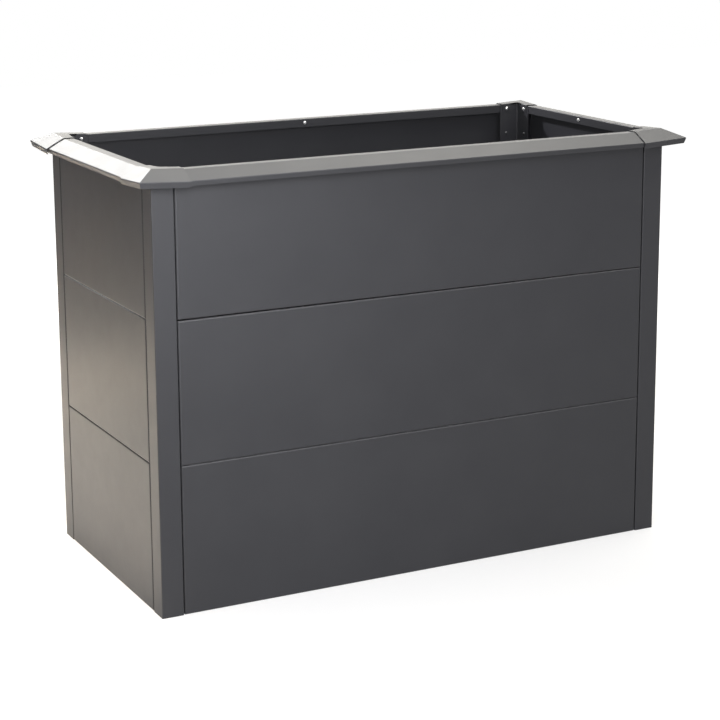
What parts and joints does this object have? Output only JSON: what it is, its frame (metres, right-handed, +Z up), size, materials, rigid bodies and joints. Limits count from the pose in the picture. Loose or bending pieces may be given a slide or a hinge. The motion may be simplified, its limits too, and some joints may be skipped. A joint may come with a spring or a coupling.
{
  "type": "raised garden bed",
  "caption": "Tall rectangular raised garden bed of folded, powder-coated sheet steel: stacked wall panels between corner posts, sloping cap rails and mitred corner caps, open top and bottom.",
  "frame": {"origin": "middle of the bed's footprint, on the ground", "axes": "+X along the bed's length, +Y across its width towards the back wall, +Z up"},
  "size_m": [1.2732, 0.6632, 0.9194],
  "materials": {
    "powder_coat": "satin anthracite powder coat with a fine grain",
    "zinc_plated_steel": "bright zinc-plated screw",
    "dark_screw_coat": "screw coated in the dark tone of the sheets"
  },
  "bodies": {
    "root": {"back_cap_rail": "powder_coat", "back_panel_bottom": "powder_coat", "back_panel_middle": "powder_coat", "back_panel_top": "powder_coat", "cap_screws": "zinc_plated_steel", "corner_cap_back_left": "powder_coat", "corner_cap_back_right": "powder_coat", "corner_cap_front_left": "powder_coat", "corner_cap_front_right": "powder_coat", "corner_post_back_left": "powder_coat", "corner_post_back_right": "powder_coat", "corner_post_front_left": "powder_coat", "corner_post_front_right": "powder_coat", "cross_tie_lower": "powder_coat", "cross_tie_upper": "powder_coat", "front_cap_rail": "powder_coat", "front_panel_bottom": "powder_coat", "front_panel_middle": "powder_coat", "front_panel_top": "powder_coat", "inner_angle_back_left": "powder_coat", "inner_angle_back_right": "powder_coat", "inner_angle_front_left": "powder_coat", "inner_angle_front_right": "powder_coat", "left_cap_rail": "powder_coat", "left_panel_bottom": "powder_coat", "left_panel_middle": "powder_coat", "left_panel_top": "powder_coat", "panel_screws": "dark_screw_coat", "rail_screws": "zinc_plated_steel", "right_cap_rail": "powder_coat", "right_panel_bottom": "powder_coat", "right_panel_middle": "powder_coat", "right_panel_top": "powder_coat", "tie_screws": "zinc_plated_steel"}
  },
  "joints": []
}
